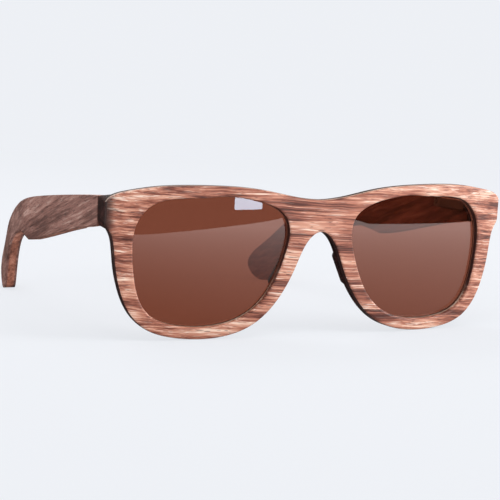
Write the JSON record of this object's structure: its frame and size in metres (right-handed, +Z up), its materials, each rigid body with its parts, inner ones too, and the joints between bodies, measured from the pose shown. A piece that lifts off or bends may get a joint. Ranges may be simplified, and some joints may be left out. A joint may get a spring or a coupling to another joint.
{
  "type": "sunglasses",
  "caption": "Wooden sunglasses with a bent laminated front, dark brown lenses and laminated arms on sprung hinges, standing open on the rims and arm tips.",
  "frame": {"origin": "middle of the footprint at table level: bottom centre of the bounding box, glasses open", "axes": "+X towards the wearer's left arm, +Y from the front back to the ears, +Z up"},
  "size_m": [0.1442, 0.1464, 0.0487],
  "materials": {
    "face_veneer": "satin oiled, reddish brown with fine cream and dark streaks",
    "pale_veneer": "sanded, pale maple edge",
    "dark_wood": "satin oiled, very dark brown",
    "arm_veneer": "satin oiled, greyish walnut with fine streaks",
    "arm_core_wood": "sanded, orange brown edges",
    "lens": "polished, brown tint",
    "hinge_metal": "fine brushed",
    "screw_metal": "turned",
    "spring_steel": "drawn wire"
  },
  "bodies": {
    "front": {"front_face_ply": "face_veneer", "front_pale_ply": "pale_veneer", "front_back_ply": "dark_wood", "left_lens": "lens", "left_nose_pad": "dark_wood", "left_end_block": "dark_wood", "left_hinge_front_leaf": "hinge_metal", "left_hinge_leaf_screws": "screw_metal", "right_lens": "lens", "right_nose_pad": "dark_wood", "right_end_block": "dark_wood", "right_hinge_front_leaf": "hinge_metal", "right_hinge_leaf_screws": "screw_metal"},
    "left_hinge_pin": {"left_hinge_screw": "screw_metal"},
    "left_arm": {"left_arm_outer_veneer": "arm_veneer", "left_arm_core": "arm_core_wood", "left_arm_inner_veneer": "arm_veneer", "left_hinge_housing": "hinge_metal", "left_hinge_housing_screws": "screw_metal", "left_hinge_spring": "spring_steel"},
    "left_tongue": {"left_hinge_tongue": "hinge_metal", "left_hinge_rod_nut": "hinge_metal"},
    "right_hinge_pin": {"right_hinge_screw": "screw_metal"},
    "right_arm": {"right_arm_outer_veneer": "arm_veneer", "right_arm_core": "arm_core_wood", "right_arm_inner_veneer": "arm_veneer", "right_hinge_housing": "hinge_metal", "right_hinge_housing_screws": "screw_metal", "right_hinge_spring": "spring_steel"},
    "right_tongue": {"right_hinge_tongue": "hinge_metal", "right_hinge_rod_nut": "hinge_metal"}
  },
  "joints": [
    {"name": "left_fold", "type": "hinge", "parent": "front", "child": "left_hinge_pin", "pos_m": [0.0671, -0.05743, 0.03997], "axis": [0, 0, 1], "range_deg": [0, 84]},
    {"name": "left_flex", "type": "hinge", "parent": "left_hinge_pin", "child": "left_arm", "pos_m": [0.0714, -0.05728, 0.03997], "axis": [0, 0, -1], "range_deg": [0, 8], "stiffness_Nm_per_rad": 0.15, "springref_deg": -9.74, "deforming": ["left_hinge_spring"]},
    {"name": "left_tongue_turn", "type": "hinge", "parent": "left_hinge_pin", "child": "left_tongue", "pos_m": [0.0671, -0.05743, 0.03997], "axis": [0, 0, -1], "range_deg": [0, 8]},
    {"name": "right_fold", "type": "hinge", "parent": "front", "child": "right_hinge_pin", "pos_m": [-0.0671, -0.05743, 0.03997], "axis": [0, 0, -1], "range_deg": [0, 60]},
    {"name": "right_flex", "type": "hinge", "parent": "right_hinge_pin", "child": "right_arm", "pos_m": [-0.0714, -0.05728, 0.03997], "axis": [0, 0, 1], "range_deg": [0, 8], "stiffness_Nm_per_rad": 0.15, "springref_deg": -9.74, "deforming": ["right_hinge_spring"]},
    {"name": "right_tongue_turn", "type": "hinge", "parent": "right_hinge_pin", "child": "right_tongue", "pos_m": [-0.0671, -0.05743, 0.03997], "axis": [0, 0, 1], "range_deg": [0, 8]}
  ],
  "couplings": [
    {"joint": "left_tongue_turn", "follows": "left_flex", "ratio": 1},
    {"joint": "right_tongue_turn", "follows": "right_flex", "ratio": 1}
  ]
}
